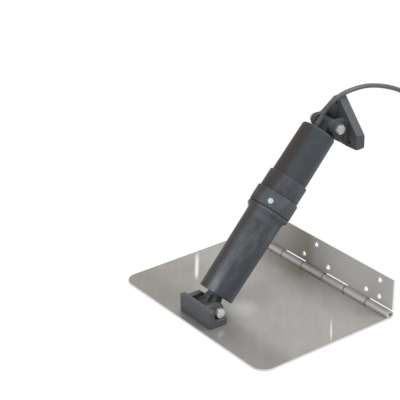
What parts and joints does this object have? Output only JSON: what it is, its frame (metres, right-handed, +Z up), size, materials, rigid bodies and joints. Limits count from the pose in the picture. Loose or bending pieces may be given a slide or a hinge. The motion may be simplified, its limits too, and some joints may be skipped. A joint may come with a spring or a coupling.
{
  "type": "boat trim tab",
  "caption": "Stainless trim tab hinged on a perforated transom leaf, worked by a leaning black electric actuator with clevis brackets at both ends and a trailing cable.",
  "frame": {"origin": "middle of the hinge leaf's four corner screw holes, on the leaf's transom face", "axes": "+X along the hinge, +Y forward through the transom, +Z up with the tab lying flat"},
  "size_m": [0.3117, 0.4059, 0.2701],
  "materials": {
    "stainless": "fine brushed stainless sheet",
    "fastener": "bright machined stainless steel",
    "black_plastic": "satin moulded black polymer",
    "white_plastic": "smooth white polymer",
    "bearing_plastic": "natural acetal",
    "seal_rubber": "black nitrile rubber",
    "bronze": "machined bronze",
    "motor_metal": "plated steel can",
    "cable_jacket": "smooth black cable jacket",
    "connector_plastic": "black nylon"
  },
  "bodies": {
    "tab": {"tab_plate": "stainless", "hinge_pin": "fastener", "lower_bracket": "black_plastic", "lower_bracket_screws": "fastener", "lower_bolt": "fastener", "lower_nut": "fastener"},
    "leaf": {"hinge_leaf": "stainless"},
    "ram": {"rod_end": "black_plastic", "rod_end_pin": "fastener", "ram_tube": "black_plastic", "drive_nut": "bronze", "ram_guide_ring": "bearing_plastic"},
    "housing": {"barrel": "black_plastic", "union_ring": "black_plastic", "lock_plug": "white_plastic", "seal_collar": "black_plastic", "housing_seal": "seal_rubber", "motor_housing": "black_plastic", "guide_bush": "bearing_plastic", "wiper_seal": "seal_rubber", "thrust_bearing": "fastener", "gearbox": "motor_metal", "motor": "motor_metal", "motor_cushion": "seal_rubber", "cable_gland": "seal_rubber", "cable_lead": "cable_jacket", "cable_coil": "cable_jacket", "coil_tie": "connector_plastic", "cable_tail": "cable_jacket", "cable_connector": "connector_plastic"},
    "screw": {"lead_screw": "fastener"},
    "bracket": {"upper_bracket": "black_plastic", "upper_bolt": "fastener", "upper_nut": "fastener"}
  },
  "joints": [
    {"name": "tab_hinge", "type": "hinge", "parent": "tab", "child": "leaf", "pos_m": [0, -0.00555, -0.02855], "axis": [-1, 0, 0], "range_deg": [0, 25.4]},
    {"name": "lower_pivot", "type": "hinge", "parent": "tab", "child": "ram", "pos_m": [0, -0.1917, -0.0169], "axis": [-1, 0, 0], "range_deg": [0, 14.7]},
    {"name": "ram_stroke", "type": "slide", "parent": "ram", "child": "housing", "axis": [0, 0.682, 0.7314], "range_m": [0, 0.057]},
    {"name": "upper_pivot", "type": "hinge", "parent": "housing", "child": "bracket", "pos_m": [0, 0.01034, 0.19067], "axis": [-1, 0, 0], "range_deg": [0, 10.75]},
    {"name": "screw_spin", "type": "hinge", "parent": "housing", "child": "screw", "pos_m": [0, -0.19119, -0.01738], "axis": [0, 0.682, 0.7314], "range_deg": [0, 5131]}
  ],
  "couplings": [
    {"joint": "tab_hinge", "follows": "ram_stroke", "rad_per_m": 7.763},
    {"joint": "lower_pivot", "follows": "ram_stroke", "rad_per_m": 4.488},
    {"joint": "upper_pivot", "follows": "ram_stroke", "rad_per_m": 3.275},
    {"joint": "screw_spin", "follows": "ram_stroke", "rad_per_m": 1570.8}
  ]
}
